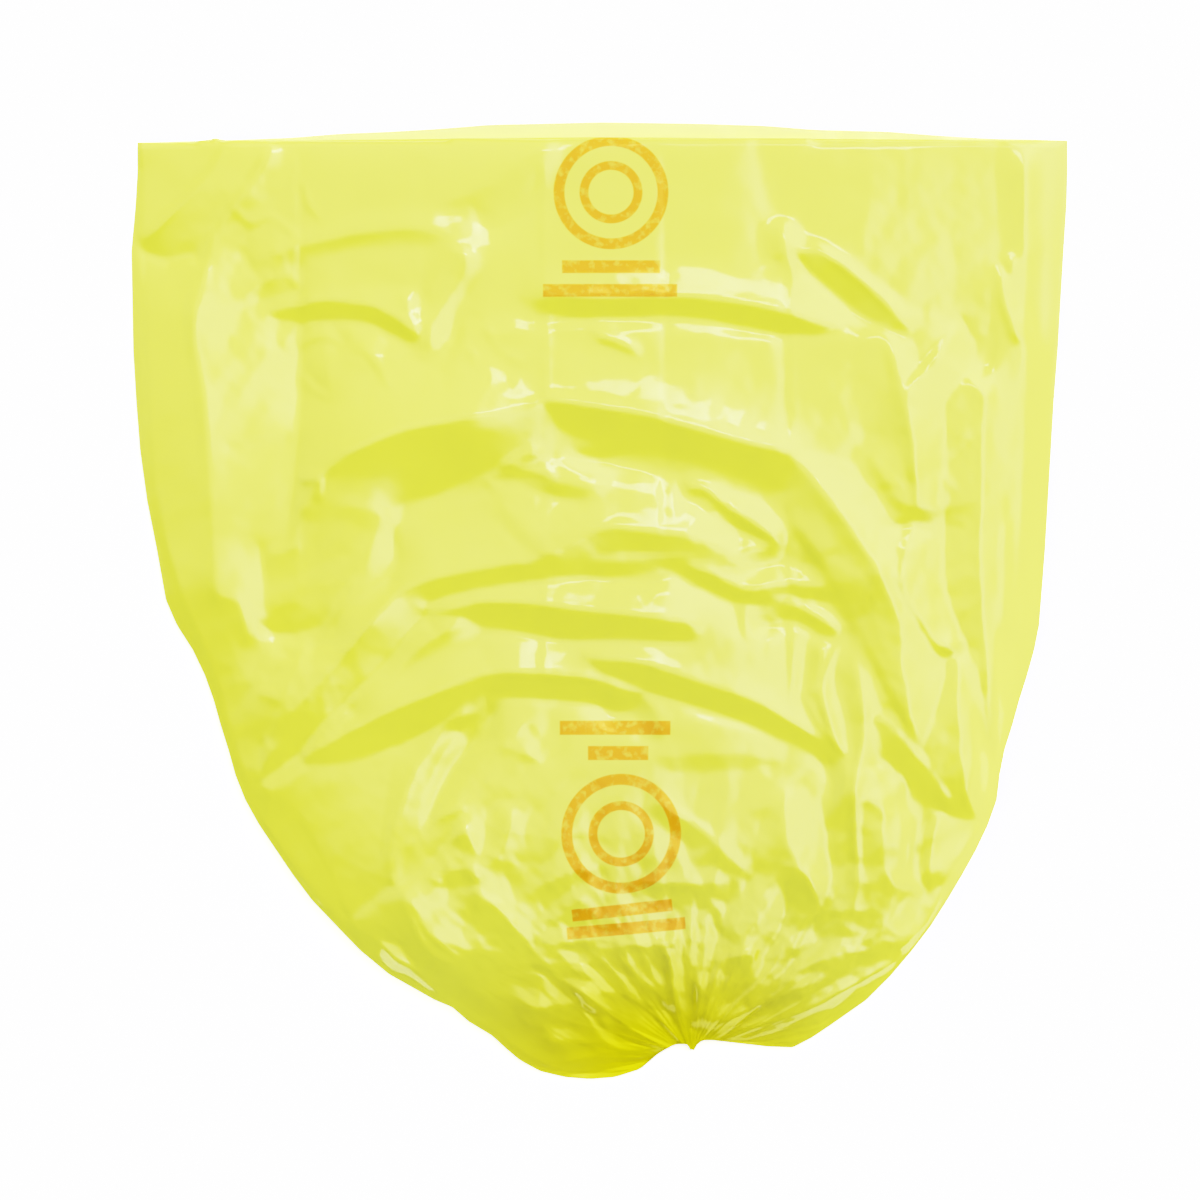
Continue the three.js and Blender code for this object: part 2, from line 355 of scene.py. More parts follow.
# the corner that lies over at the top left, and the roll down the left side
fold([(236, 139), (208, 178), (170, 212), (140, 244)], 7, 26, 30, 1.2, 0.15)
fold([(278, 140), (245, 190), (214, 236), (200, 262)], 7, 30, 46, 1.5, 0.2)
fold([(198, 262), (192, 330), (202, 400), (206, 470), (208, 540), (218, 600), (240, 680), (262, 740)], 12, 60, 58, 1.3, 0.12)
fold([(146, 440), (152, 520), (172, 600), (205, 680)], 3, 12, 16)
# crisp crease lines along the edges of the facets
for line, high in (([(205, 178), (172, 210), (141, 243)], 1.6), ([(402, 588), (352, 645), (304, 700)], 1.3), ([(436, 612), (372, 680), (306, 752)], 1.3),
                   ([(304, 757), (350, 730), (420, 700), (488, 671)], 1.2), ([(272, 797), (310, 848), (346, 918)], 1.3), ([(258, 816), (300, 868), (344, 925)], 1.1),
                   ([(394, 882), (391, 850), (404, 800), (425, 756), (452, 723)], 1.3), ([(416, 838), (424, 790), (440, 755), (462, 734)], 1.1),
                   ([(402, 884), (412, 915), (428, 950)], 1.2), ([(404, 886), (430, 930), (462, 958)], 1.1), ([(478, 890), (520, 938), (560, 980), (604, 1002)], 1.2),
                   ([(518, 1013), (548, 1005), (578, 1004)], 1.3), ([(575, 985), (592, 1008), (608, 1038)], 1.2), ([(654, 795), (690, 820), (716, 836)], 1.1),
                   ([(640, 881), (670, 881), (702, 881)], 1.0), ([(744, 1000), (782, 962), (808, 916)], 1.5), ([(786, 992), (815, 972), (852, 954)], 1.5),
                   ([(798, 1010), (850, 984), (902, 957)], 1.4), ([(770, 1020), (800, 1010), (830, 998)], 1.2), ([(786, 512), (840, 590), (885, 680), (912, 735)], 1.2),
                   ([(806, 478), (850, 545), (884, 600)], 1.1), ([(838, 636), (822, 690), (832, 735), (848, 765)], 1.2), ([(800, 690), (822, 730), (848, 756)], 1.1),
                   ([(905, 575), (930, 640), (958, 648)], 1.2), ([(904, 398), (912, 450), (916, 504)], 1.3), ([(945, 345), (922, 372), (905, 394)], 1.0),
                   ([(929, 506), (930, 470), (942, 420), (955, 380)], 1.1), ([(945, 513), (940, 570), (950, 620)], 1.1), ([(986, 450), (1000, 480), (1002, 540)], 1.2),
                   ([(1018, 500), (998, 560), (994, 660), (998, 760)], 1.1), ([(980, 600), (986, 680), (992, 762)], 1.0), ([(957, 690), (960, 745), (966, 800), (982, 822)], 1.2),
                   ([(936, 812), (930, 850), (927, 886)], 1.2), ([(880, 822), (884, 850), (884, 870)], 1.0), ([(926, 890), (900, 905), (882, 936)], 1.1),
                   ([(944, 850), (932, 885), (905, 942)], 1.1), ([(852, 770), (853, 820), (858, 870)], 1.3), ([(786, 790), (796, 835), (816, 902)], 1.1),
                   ([(300, 655), (304, 690)], 0.9), ([(275, 640), (300, 650), (336, 628)], 1.0), ([(545, 448), (520, 462), (500, 470)], 1.1),
                   ([(484, 480), (520, 505), (552, 556)], 1.0), ([(592, 337), (618, 342), (640, 354)], 1.3), ([(682, 486), (710, 492), (740, 520), (784, 545)], 1.1),
                   ([(742, 602), (744, 625), (752, 642)], 1.1), ([(668, 558), (700, 568), (745, 588)], 1.0), ([(362, 346), (384, 374), (394, 398)], 1.1),
                   ([(300, 372), (318, 392), (334, 398)], 1.1), ([(298, 345), (322, 336), (345, 345)], 0.9), ([(414, 318), (424, 298), (430, 285)], 1.1),
                   ([(200, 205), (212, 236), (206, 262)], 0.8), ([(222, 196), (250, 222), (272, 216), (300, 240)], 0.8), ([(300, 176), (310, 205), (326, 222)], 0.9),
                   ([(455, 365), (470, 352), (480, 372)], 0.9), ([(484, 322), (500, 350), (530, 368)], 0.9), ([(688, 940), (694, 965), (700, 990)], 1.3),
                   ([(660, 940), (672, 965), (676, 990)], 1.2), ([(640, 945), (652, 972), (668, 992)], 1.1), ([(545, 944), (600, 936), (650, 944), (700, 930)], 1.2)):
    fold(line, high * 1.5, 5, 5, 1.0, 0.25)
# straight creases left from the packing
for cx, top, bottom, h in ((299, 145, 470, -1.3), (544, 140, 700, 1.2), (664, 140, 560, -1.0), (790, 170, 720, 1.1), (420, 150, 400, -0.5), (905, 150, 300, 0.5)):
    fold([(cx, top), (cx + 2, (top + bottom) / 2), (cx, bottom)], h * 0.8, 4, 4, 1.0, 0.06)

# ---- facets. Top left: the corner that lies over, the roll down the side and the pale column beside it
facet([(226, 141), (268, 141), (240, 188), (214, 226), (196, 252), (168, 262), (140, 250), (168, 222), (205, 180)], (-0.16, -0.24), 4, 2.0)
facet([(138, 143), (220, 143), (203, 173), (170, 206), (141, 240)], (0.02, 0.06), 4, 0.6)
facet([(146, 258), (166, 264), (192, 262), (183, 300), (184, 330), (196, 400), (203, 470), (208, 540), (212, 590), (228, 640), (250, 692),
       (262, 735), (262, 775), (250, 785), (235, 750), (222, 700), (206, 650), (184, 600), (166, 540), (154, 480), (150, 420), (147, 340)], (-0.16, -0.02), 7)
facet([(208, 262), (240, 250), (262, 285), (296, 290), (296, 480), (290, 520), (262, 545), (268, 600), (248, 640), (240, 600), (216, 596),
       (212, 500), (206, 400), (192, 332)], (0.10, 0.10), 4, 1.3)
facet([(225, 444), (292, 430), (292, 440), (232, 450)], (0, -0.05), 4)
facet([(262, 545), (292, 520), (290, 535), (275, 545)], (0, -0.07), 4)
facet([(272, 555), (300, 545), (300, 600), (268, 612)], (-0.08, -0.14), 4)
# the left of the long arch, and the pale wedge below it
facet([(342, 455), (365, 446), (415, 433), (500, 428), (530, 411), (541, 403), (541, 415), (530, 438), (497, 466), (440, 492), (384, 512),
       (360, 556), (332, 594), (312, 640), (275, 640), (262, 625), (275, 607), (300, 602), (302, 510), (322, 500), (330, 470)], (-0.02, -0.30), 8)
facet([(382, 512), (388, 518), (366, 562), (340, 598), (316, 638), (280, 638), (264, 624), (300, 604), (312, 560), (322, 520), (345, 505)], (-0.12, -0.26), 6, 2.0)
facet([(388, 516), (393, 530), (398, 560), (386, 580), (352, 604), (322, 636), (346, 600), (366, 560)], (0.16, 0.16), 3, 1.4)
facet([(400, 520), (500, 498), (545, 560), (500, 560), (430, 570), (402, 585), (398, 560)], (0.03, 0.05), 8, 0.35)
# the right of the long arch, and the fan that it runs out into
facet([(543, 400), (600, 408), (650, 416), (700, 434), (750, 446), (788, 452), (788, 494), (750, 478), (700, 462), (640, 450), (590, 442), (560, 428)], (0, -0.30), 7)
facet([(788, 455), (812, 478), (850, 530), (880, 590), (905, 650), (925, 715), (912, 730), (885, 680), (850, 620), (818, 560), (788, 508)], (-0.14, -0.15), 8, 0.7)
# bands of the upper part
facet([(545, 294), (600, 299), (650, 298), (720, 302), (790, 318), (835, 328), (820, 337), (790, 335), (740, 326), (680, 313), (600, 317), (545, 313)], (0, -0.28), 4)
facet([(270, 312), (300, 303), (350, 303), (385, 313), (402, 322), (380, 321), (340, 320), (300, 321), (272, 320)], (0, -0.22), 3)
facet([(196, 330), (250, 290), (295, 276), (296, 290), (255, 303), (212, 322)], (0.02, -0.13), 4)
facet([(440, 214), (480, 206), (515, 190), (556, 152), (535, 152), (490, 184), (450, 200)], (0, -0.09), 8)
facet([(452, 250), (468, 258), (462, 278), (444, 305), (432, 330), (425, 352), (420, 332), (430, 292)], (-0.08, -0.10), 5)
facet([(405, 297), (425, 290), (421, 320), (413, 320)], (0.12, 0.14), 3)
facet([(784, 220), (800, 235), (815, 250), (796, 252), (785, 266)], (0.10, 0.16), 3)
facet([(792, 254), (815, 250), (850, 283), (895, 318), (910, 331), (885, 331), (850, 308), (810, 274)], (-0.10, -0.20), 4)
facet([(760, 140), (1000, 142), (1010, 240), (985, 320), (900, 300), (830, 250), (770, 200)], (-0.01, -0.02), 20, 0.5)
facet([(790, 340), (850, 345), (866, 400), (880, 450), (850, 460), (800, 450), (785, 400)], (-0.02, -0.03), 12, 0.5)
facet([(660, 720), (790, 740), (830, 790), (780, 850), (700, 820), (665, 790)], (0, 0.0), 12, 0.4)
facet([(330, 370), (540, 330), (540, 395), (480, 412), (400, 425), (340, 450)], (0.02, 0.04), 12, 0.3)
facet([(560, 330), (770, 345), (780, 430), (700, 420), (620, 400), (560, 390)], (0.02, 0.04), 12, 0.3)
# the right side
facet([(958, 316), (976, 342), (968, 372), (950, 400), (943, 430), (940, 460), (930, 505), (915, 505), (912, 450), (905, 415), (905, 392), (925, 370), (945, 345)], (0.16, 0.14), 3, 1.2)
facet([(890, 523), (915, 512), (944, 507), (926, 518), (897, 527)], (0, -0.28), 2.5)
facet([(912, 530), (945, 513), (938, 580), (950, 620), (958, 645), (935, 648), (905, 600), (900, 566)], (0.16, 0.12), 3, 1.2)
facet([(905, 603), (935, 652), (945, 670), (935, 700), (920, 747), (910, 720), (898, 660)], (0.15, 0.11), 3, 1.2)
facet([(948, 512), (985, 540), (988, 600), (984, 640), (974, 655), (952, 620), (942, 580)], (-0.10, -0.06), 6)
facet([(943, 400), (968, 380), (985, 400), (978, 460), (975, 530), (952, 508), (935, 505), (945, 450)], (-0.09, -0.05), 6)
facet([(985, 445), (1006, 462), (1001, 520), (995, 600), (992, 700), (998, 762), (992, 762), (987, 700), (981, 600), (978, 530)], (0.16, 0.10), 3, 1.2)
facet([(1026, 362), (1025, 400), (1015, 500), (1004, 480), (1008, 430)], (0.13, 0.09), 4)
facet([(998, 262), (1010, 273), (1018, 300), (1026, 344), (1015, 335), (1003, 300)], (0.12, 0.10), 4)
facet([(1029, 350), (1056, 350), (1052, 450), (1044, 560), (1038, 625), (1020, 640), (1022, 500)], (0.42, -0.02), 5)
facet([(866, 340), (884, 330), (888, 400), (868, 400), (850, 360)], (-0.08, -0.05), 6)
facet([(868, 452), (900, 460), (912, 505), (900, 507), (880, 475)], (-0.04, 0.10), 4, 0.7)
# the lower right
facet([(870, 717), (886, 722), (905, 745), (918, 755), (930, 770), (948, 802), (935, 805), (905, 785), (890, 748)], (-0.18, -0.22), 4)
facet([(918, 750), (946, 672), (957, 655), (957, 700), (955, 798), (936, 780)], (-0.16, -0.14), 4)
facet([(957, 690), (968, 690), (972, 760), (965, 800), (958, 750)], (0.12, 0.08), 3)
facet([(870, 800), (880, 778), (898, 783), (885, 800)], (0.12, 0.14), 3)
facet([(880, 820), (896, 822), (890, 866), (882, 873)], (0.12, 0.08), 3)
facet([(938, 812), (985, 822), (960, 855), (940, 882), (926, 888), (930, 840)], (0.08, 0.04), 4, 0.7)
facet([(926, 892), (945, 880), (930, 915), (905, 945), (880, 938), (895, 905)], (0.06, 0.10), 4, 0.8)
facet([(858, 800), (880, 800), (882, 870), (895, 885), (885, 925), (862, 945), (850, 945), (860, 870)], (-0.08, -0.20), 5)
facet([(840, 800), (848, 760), (846, 850), (842, 900), (822, 940), (812, 930), (830, 880)], (-0.14, -0.22), 5)
facet([(782, 862), (800, 872), (818, 904), (808, 918), (790, 950), (775, 985), (750, 1010), (745, 1000), (770, 970), (786, 930), (784, 890)], (-0.30, -0.34), 4)
facet([(782, 800), (792, 790), (800, 830), (812, 880), (800, 868), (786, 845)], (0.10, 0.08), 4)
facet([(660, 800), (712, 838), (745, 872), (700, 850), (670, 830)], (-0.06, -0.12), 4)
facet([(755, 760), (772, 760), (772, 775), (760, 775)], (0.10, 0.12), 3)
facet([(660, 755), (740, 752), (790, 765), (740, 770), (670, 772)], (0, -0.10), 6)
facet([(845, 948), (905, 955), (850, 962), (800, 985), (760, 1003), (745, 1003), (790, 970)], (-0.08, -0.34), 4)
facet([(905, 958), (880, 985), (830, 1022), (796, 1044), (740, 1040), (720, 1034), (800, 1020), (860, 995)], (0.14, -0.34), 5)
# the lower left
facet([(402, 591), (430, 612), (400, 648), (360, 690), (320, 730), (290, 762), (264, 781), (258, 778), (280, 740), (302, 704), (350, 650), (390, 606)], (0.10, -0.24), 5)
facet([(307, 757), (350, 730), (400, 706), (450, 686), (488, 672), (494, 676), (480, 692), (440, 722), (400, 744), (350, 764), (310, 763)], (0.04, -0.30), 5)
facet([(490, 673), (560, 681), (640, 690), (645, 695), (600, 701), (540, 697), (484, 692)], (0, -0.27), 4)
facet([(395, 590), (440, 580), (500, 568), (560, 561), (640, 560), (720, 553), (725, 557), (640, 573), (560, 578), (500, 586), (440, 600), (410, 604)], (0, -0.21), 5)
facet([(430, 612), (470, 608), (540, 612), (620, 615), (690, 622), (690, 643), (640, 640), (560, 640), (500, 626), (450, 615)], (0, -0.27), 5)
facet([(582, 656), (640, 666), (700, 683), (750, 700), (790, 722), (845, 755), (840, 762), (800, 745), (750, 722), (700, 705), (650, 692), (600, 673)], (-0.04, -0.27), 4)
facet([(545, 562), (580, 542), (625, 530), (680, 534), (722, 550), (700, 553), (640, 552), (580, 560)], (0, -0.20), 5)
facet([(575, 455), (600, 440), (640, 450), (600, 460)], (0, -0.24), 4)
facet([(500, 470), (540, 478), (606, 490), (560, 497), (510, 485)], (0, -0.14), 4)
facet([(485, 478), (520, 482), (545, 520), (546, 558), (520, 530), (500, 500)], (0.02, 0.12), 5, 0.7)
facet([(550, 540), (600, 500), (625, 505), (600, 528), (555, 556)], (0.06, 0.14), 5, 0.7)
facet([(668, 560), (700, 572), (740, 592), (790, 602), (800, 608), (740, 601), (700, 586)], (-0.06, -0.26), 3)
facet([(748, 592), (790, 582), (830, 592), (800, 599), (770, 597)], (0, -0.24), 3)
facet([(750, 620), (775, 608), (798, 604), (790, 615), (765, 622)], (0, -0.22), 3)
facet([(743, 606), (770, 604), (752, 618), (750, 640), (744, 635)], (0.10, 0.16), 3)
facet([(720, 530), (740, 532), (740, 560), (725, 562)], (0.08, 0.16), 3)
facet([(250, 692), (282, 701), (272, 745), (258, 738)], (-0.10, -0.18), 4)
facet([(270, 635), (300, 636), (338, 622), (335, 635), (300, 652), (275, 648)], (0.06, 0.14), 4)
facet([(300, 655), (345, 652), (312, 692), (298, 700), (282, 740), (270, 745), (284, 700)], (0.10, 0.10), 5, 0.7)
facet([(312, 766), (395, 752), (388, 800), (384, 850), (390, 885), (350, 915), (332, 870), (306, 820), (280, 792)], (-0.02, -0.10), 8, 0.8)
facet([(272, 797), (300, 832), (326, 878), (350, 920), (340, 926), (314, 892), (284, 852), (262, 818)], (-0.03, 0.05), 3, 0.7)
facet([(392, 848), (406, 800), (427, 755), (452, 726), (462, 736), (442, 762), (427, 800), (416, 848), (402, 880), (392, 880)], (0.10, 0.12), 4)
facet([(415, 845), (440, 815), (464, 806), (450, 832), (428, 868), (405, 880)], (-0.10, -0.14), 4)
facet([(455, 842), (466, 828), (476, 850), (470, 862)], (-0.1, -0.25), 2.5)
facet([(440, 886), (455, 868), (474, 866), (462, 882)], (0, -0.34), 2.5)
facet([(430, 874), (450, 858), (464, 862), (440, 880)], (0.10, 0.18), 2.5)
facet([(405, 886), (440, 900), (480, 930), (500, 948), (470, 950), (440, 935)], (0.08, 0.10), 5, 0.7)
facet([(478, 892), (500, 906), (545, 962), (572, 1002), (565, 1010), (520, 1006), (490, 990), (478, 962), (502, 948), (484, 915)], (-0.06, -0.30), 6)
facet([(546, 968), (570, 985), (582, 1002), (530, 1005), (520, 1000)], (0.10, 0.16), 4)
facet([(520, 1014), (550, 1008), (576, 1006), (612, 1046), (600, 1052), (570, 1022), (530, 1024)], (-0.04, -0.40), 3)
facet([(580, 1006), (594, 1012), (610, 1040), (600, 1036)], (0.14, 0.10), 3)
facet([(546, 1024), (576, 1024), (570, 1040), (550, 1040)], (0.08, 0.10), 3)
facet([(352, 920), (365, 918), (402, 936), (380, 938), (360, 930)], (0, -0.30), 3)
facet([(380, 940), (402, 942), (414, 965), (400, 962)], (0.08, 0.12), 3)
facet([(505, 745), (530, 725), (542, 745), (542, 762), (520, 748)], (0.08, 0.14), 4)
facet([(706, 906), (722, 940), (722, 956), (700, 976), (690, 985), (684, 935)], (0.10, 0.12), 4)
facet([(728, 956), (752, 949), (745, 985), (720, 1012), (704, 1012), (722, 976)], (-0.10, -0.42), 4)
facet([(612, 1010), (660, 1008), (684, 1010), (690, 1036), (640, 1048), (616, 1044)], (-0.05, -0.42), 5)
facet([(540, 1052), (600, 1056), (660, 1047), (640, 1068), (590, 1078), (545, 1068)], (-0.04, -0.40), 4)


def solve_height(X, Y, base, gx, gy, firm, mask, loose=0.035, prior=0.0006):
    """The height whose slopes suit gx and gy best (mm to a grid step), each by its firmness, held to base outside
    the mask. Worked from a coarse grid to the full one, by conjugate gradients."""
    def down(A):
        return A[::2, ::2]

    levels = [(base, gx, gy, firm, mask)]
    for _ in range(3):
        b0, x0, y0, f0, m0 = levels[-1]
        levels.append((down(b0), 2 * down(x0), 2 * down(y0), down(f0), down(m0)))
    z = None
    for b0, x0, y0, f0, m0 in levels[::-1]:
        if z is None:
            z = b0.copy()
        else:
            up = np.zeros_like(b0)
            jj = np.clip(np.arange(b0.shape[0]) / 2, 0, z.shape[0] - 1)
            ii = np.clip(np.arange(b0.shape[1]) / 2, 0, z.shape[1] - 1)
            j0, i0 = np.minimum(jj.astype(int), z.shape[0] - 2), np.minimum(ii.astype(int), z.shape[1] - 2)
            tj, ti = (jj - j0)[:, None], (ii - i0)[None]
            up = ((z[j0][:, i0] * (1 - tj) + z[j0 + 1][:, i0] * tj) * (1 - ti)
                  + (z[j0][:, i0 + 1] * (1 - tj) + z[j0 + 1][:, i0 + 1] * tj) * ti)
            z = np.where(m0, up, b0)
        w = loose + f0
        wx, wy = (w[:, 1:] + w[:, :-1]) / 2, (w[1:] + w[:-1]) / 2
        tx, ty = (x0[:, 1:] + x0[:, :-1]) / 2, (y0[1:] + y0[:-1]) / 2

        def normal(v):
            out = prior * v
            d = wx * (v[:, 1:] - v[:, :-1])
            out[:, 1:] += d
            out[:, :-1] -= d
            d = wy * (v[1:] - v[:-1])
            out[1:] += d
            out[:-1] -= d
            return out

        rhs = prior * b0
        rhs[:, 1:] += wx * tx
        rhs[:, :-1] -= wx * tx
        rhs[1:] += wy * ty
        rhs[:-1] -= wy * ty
        r = (rhs - normal(z)) * m0
        diag = prior + np.pad(wx, ((0, 0), (1, 0))) + np.pad(wx, ((0, 0), (0, 1))) + np.pad(wy, ((1, 0), (0, 0))) + np.pad(wy, ((0, 1), (0, 0)))
        y = r / diag
        p = y.copy()
        rz = (r * y).sum()
        for _ in range(260):
            Ap = normal(p) * m0
            alpha = rz / max((p * Ap).sum(), 1e-12)
            z += alpha * p
            r -= alpha * Ap
            y = r / diag
            new = (r * y).sum()
            if new < 1e-6:
                break
            p = y + new / rz * p
            rz = new
    return z


base_y, base_x = np.gradient(BASE)
gx, gy, firm = fold_slopes(GX, GY)
gx, gy = base_x + gx, base_y + gy
for points, (fxx, fyy), soft, weight in FACETS:
    q = np.asarray(points, float)
    lo, hi = q.min(0) - 2 * soft, q.max(0) + 2 * soft
    j0, j1 = np.searchsorted(GY[:, 0], [lo[1], hi[1]])
    i0, i1 = np.searchsorted(GX[0], [lo[0], hi[0]])
    box = (slice(j0, j1), slice(i0, i1))
    d = edge_distance(q, GX[box], GY[box])
    d = np.where(inside_of(q, GX[box], GY[box]), d, -d)
    m = np.clip(0.5 + d / (0.6 * soft), 0, 1)
    k = m * min(1.0, weight * 1.2)
    pale = fxx > 0.05 and fyy > 0
    fxx, fyy = fxx * (1.9 if pale else 1.1), fyy * (1.2 if pale else 1.1)
    # facing right means falling to the right, and facing the mouth means rising down the drawing
    gx[box] = gx[box] * (1 - k) - fxx * U * STEP * k
    gy[box] = gy[box] * (1 - k) + fyy * U * STEP * k
    firm[box] = np.maximum(firm[box], m * weight)
# close to the outline the film keeps to its own lie
near_rim = np.exp(-(rim / 8) ** 2)
gx, gy = gx + (base_x - gx) * near_rim, gy + (base_y - gy) * near_rim
firm = firm + 0.6 * near_rim
HEIGHT = solve_height(GX, GY, BASE, gx, gy, firm, within & (rim > 1.5))


def sample(A, X, Y):
    i = np.clip((X - GX[0, 0]) / STEP, 0, A.shape[1] - 1.001)
    j = np.clip((Y - GY[0, 0]) / STEP, 0, A.shape[0] - 1.001)
    i0, j0 = i.astype(int), j.astype(int)
    u, w = i - i0, j - j0
    return ((A[j0, i0] * (1 - u) + A[j0, i0 + 1] * u) * (1 - w) + (A[j0 + 1, i0] * (1 - u) + A[j0 + 1, i0 + 1] * u) * w)


Z = sample(HEIGHT, fx, fy)
print("film heights", Z.min().round(1), Z.max().round(1))


# small crinkles: ridged noise from triangle waves along scattered directions
def crinkle(X, Y, scale, seed, count=6, warp=0.35):
    r = np.random.default_rng(seed)
    out = np.zeros(X.shape)
    wx = np.zeros(X.shape)
    wy = np.zeros(X.shape)
    for _ in range(5):
        a, f, p = r.uniform(0, 2 * math.pi), r.uniform(0.5, 1.4) / (2.2 * scale), r.uniform(0, 6.28, 2)
        wx += np.sin((X * math.cos(a) + Y * math.sin(a)) * f * 2 * math.pi + p[0])
        wy += np.sin((X * math.sin(a) - Y * math.cos(a)) * f * 2 * math.pi + p[1])
    for _ in range(count):
        a = r.uniform(0, math.pi)
        f = r.uniform(0.6, 1.5) / scale
        t = ((X + wx * warp * scale) * math.cos(a) + (Y + wy * warp * scale) * math.sin(a)) * f + r.uniform(0, 1)
        out += np.abs((t % 1.0) - 0.5) * 4 - 1
    return out / count ** 0.5


def crumple(X, Y, size, seed):
    """Flat facets with crisp edges, about size across: the difference of two nearest-point distances squared, which
    is a plane inside each facet."""
    r = np.random.default_rng(seed)

    def nearest(table):
        ci, cj = np.floor(X / size).astype(int), np.floor(Y / size).astype(int)
        best = np.full(X.shape, 1e9)
        for di in (-1, 0, 1):
            for dj in (-1, 0, 1):
                off = table[(cj + dj) % 61, (ci + di) % 61]
                best = np.minimum(best, (X / size - ci - di - off[..., 0]) ** 2 + (Y / size - cj - dj - off[..., 1]) ** 2)
        return best

    return nearest(r.random((61, 61, 2))) - nearest(r.random((61, 61, 2)))


def blob(X, Y, cx, cy, rx, ry):
    return np.exp(-(((X - cx) / rx) ** 2 + ((Y - cy) / ry) ** 2))


busy = (0.10 + 1.0 * blob(fx, fy, 690, 960, 230, 90) + 0.55 * blob(fx, fy, 920, 540, 90, 250)
        + 0.55 * blob(fx, fy, 510, 860, 120, 120) + 0.45 * blob(fx, fy, 290, 700, 70, 110)
        + 0.55 * blob(fx, fy, 400, 340, 120, 60) + 0.45 * blob(fx, fy, 255, 260, 60, 110) + 0.45 * blob(fx, fy, 760, 590, 110, 70)
        + 0.5 * blob(fx, fy, 880, 860, 110, 110) + 0.35 * blob(fx, fy, 540, 500, 80, 60) + 0.3 * blob(fx, fy, 165, 160, 40, 30))
tuck = ease(np.abs(1 - np.abs(sF))[None], 0, 0.06) * ease(rows[:, None], 0, 0.05)
Z += crumple(fx + 0.3 * fy, fy, 130, 3) * 1.3 * tuck
Z += crumple(fx, fy, 66, 5) * 2.6 * busy * tuck
Z += crumple(fx + 0.4 * fy, fy, 31, 9) * 1.7 * busy * tuck
Z += crumple(fx, fy - 0.3 * fx, 14, 11) * 0.5 * busy * tuck
# long wrinkles that run towards the seal
turnF = np.arctan2(fx - GATHER[0], GATHER[1] - fy + 14)
farF = np.hypot(fx - GATHER[0], fy - GATHER[1])
drawn = np.interp(farF, [0, 40, 120, 220, 380], [0.3, 1.4, 1.9, 0.8, 0]) * tuck
Z += crumple(turnF * 210, farF * 0.62, 74, 33) * 4.0 * drawn
Z += crumple(turnF * 230, farF * 0.34, 24, 35) * 0.8 * drawn
Z = np.maximum(Z, np.where(np.abs(sF)[None] > 0.985, 0.4, 1.4))


F = np.dstack([mm(front), Z])

# ---------------------------------------------------------------- the back film
bx, by = back[..., 0], back[..., 1]
bs = np.abs(sB)[None, :]
turn = np.clip((bs - 0.80) / 0.20, 0, 1) ** 2
ZB = 0.6 + np.where(sB[None] < 0, Z[:, :1] - 0.6, Z[:, -1:] - 0.6) * turn
ZB += 0.5 * np.clip(crinkle(bx, by, 70, 21), 0, None) * (1 - turn)
# under the bag the film is pleated all round the seal
ang = np.arctan2(bx - GATHER[0], GATHER[1] - by + 12)
rad = np.hypot(bx - GATHER[0], by - GATHER[1])
wander = 0.05 * np.sin(rad / 60) + 0.04 * np.sin(ang * 5 + 1.0) + 0.03 * np.sin(rad / 31 + ang * 3)
pleat = np.abs(((ang + wander) * 11 / math.pi * 2 % 1.0) - 0.5) * 2
room = np.clip(sample(HEIGHT, bx, by) - 3, 0, 24)
pleat_h = np.interp(rad, [0, 30, 90, 640, 880], [0.1, 0.6, 1, 1, 0]) * ease(1 - bs, 0, 0.08)
ZB += pleat * pleat_h * room * (1 - turn)
B = np.dstack([mm(back), ZB])

# front and back share their side edges, and come together at the seal
B[:, 0] = F[:, 0]
B[:, -1] = F[:, -1]


def spread(P):
    return np.linalg.norm(np.cross(P[1:, 1:] - P[:-1, :-1], P[1:, :-1] - P[:-1, 1:]), axis=-1).sum() / 2e6


print("film areas", round(spread(F), 3), round(spread(B), 3), "of", round(FLAT_W * FLAT_L, 3))


